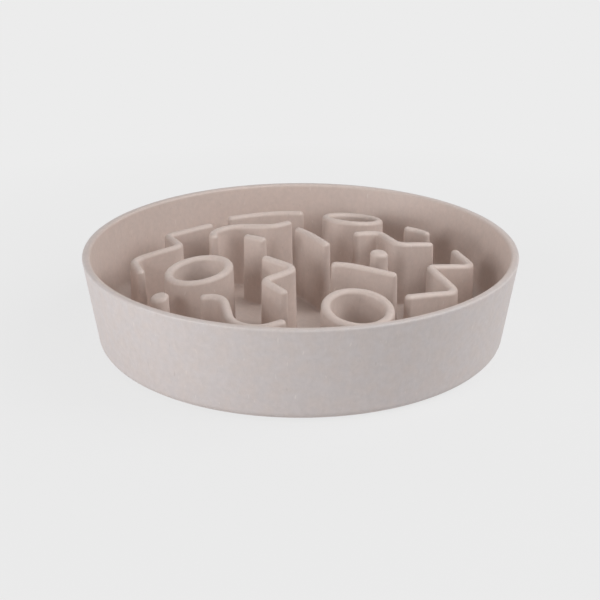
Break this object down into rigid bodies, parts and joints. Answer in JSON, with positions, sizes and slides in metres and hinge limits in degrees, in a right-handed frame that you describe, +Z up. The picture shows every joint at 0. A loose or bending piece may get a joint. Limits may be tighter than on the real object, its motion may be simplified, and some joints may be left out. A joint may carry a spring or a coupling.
{
  "type": "slow feeder bowl",
  "caption": "Low round pet bowl with a slightly leaning side and a maze of upright walls, rings and pegs on its floor that slows eating.",
  "frame": {"origin": "middle of the bowl's base, on the surface that its feet rest on", "axes": "+Z up out of the bowl, -Y towards the near side of the picture, +X to the right of it"},
  "size_m": [0.28, 0.28, 0.06],
  "materials": {
    "moulding": "matte",
    "rubber": "matte"
  },
  "bodies": {
    "root": {"bowl_shell": "moulding", "zigzag_wall_left": "moulding", "zigzag_wall_centre": "moulding", "zigzag_wall_right": "moulding", "arch_wall_left": "moulding", "wave_wall_front": "moulding", "wave_wall_right": "moulding", "curved_wall_back": "moulding", "curved_wall_centre": "moulding", "curved_wall_right": "moulding", "short_wall_left": "moulding", "short_wall_back_right": "moulding", "ring_wall_left": "moulding", "ring_wall_back": "moulding", "ring_wall_front": "moulding", "round_peg_left": "moulding", "round_peg_right": "moulding", "rubber_foot_1": "rubber", "rubber_foot_2": "rubber", "rubber_foot_3": "rubber", "rubber_foot_4": "rubber", "rubber_foot_5": "rubber", "rubber_foot_6": "rubber"}
  },
  "joints": []
}
